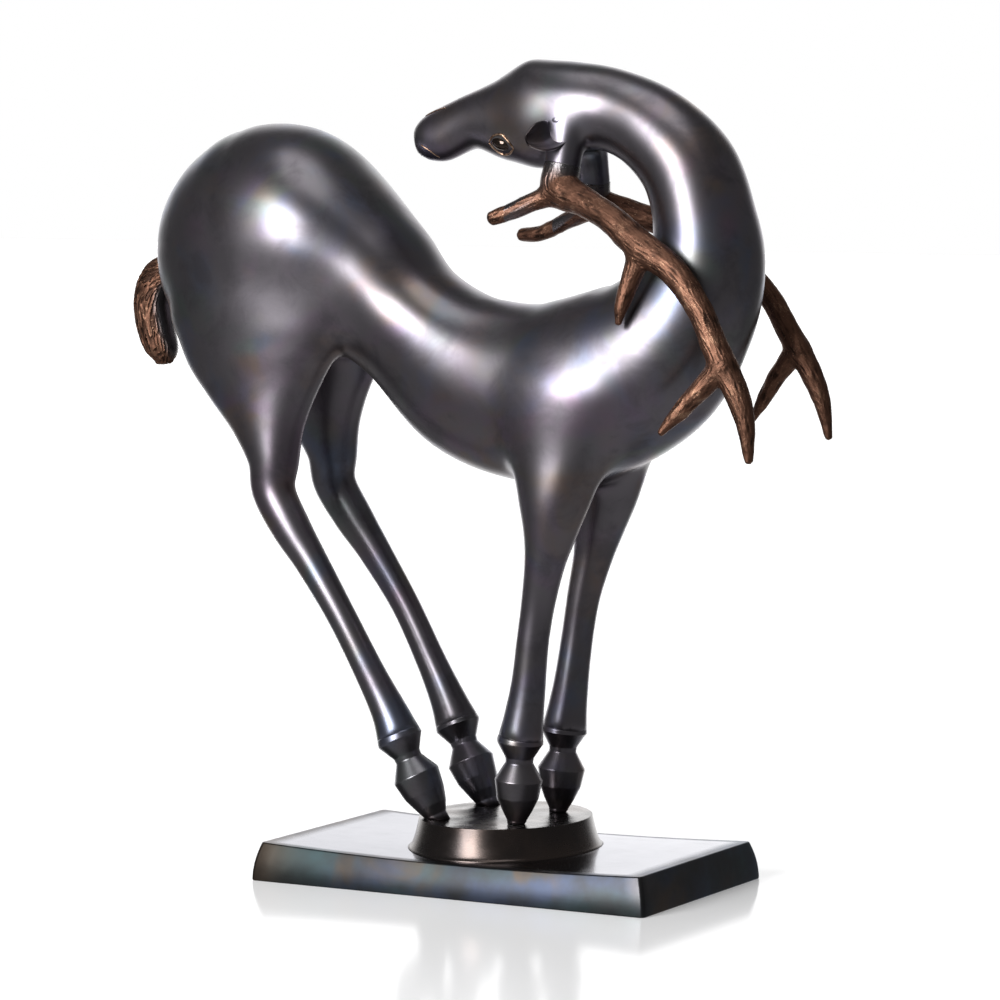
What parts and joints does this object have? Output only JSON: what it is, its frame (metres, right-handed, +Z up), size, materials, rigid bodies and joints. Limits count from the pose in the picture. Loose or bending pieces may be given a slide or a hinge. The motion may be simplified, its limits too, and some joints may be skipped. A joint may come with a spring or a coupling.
{
  "type": "bronze deer sculpture",
  "caption": "Polished bronze deer on an oval mound and rectangular plinth, its neck arched back over its body and its antlers spread to either side of the neck.",
  "frame": {"origin": "centre of the plinth's flat underside", "axes": "+X the way the deer's body faces, along the plinth's long side; +Y to the deer's left; +Z up"},
  "size_m": [0.5117, 0.175, 0.5554],
  "materials": {
    "plinth_bronze": "polished dark bronze with a blue, green and brown patina",
    "mound_bronze": "polished dark brown bronze",
    "deer_bronze": "polished gunmetal bronze, with brown antlers and tail"
  },
  "bodies": {
    "root": {"plinth": "plinth_bronze", "mound": "mound_bronze", "deer": "deer_bronze"}
  },
  "joints": []
}
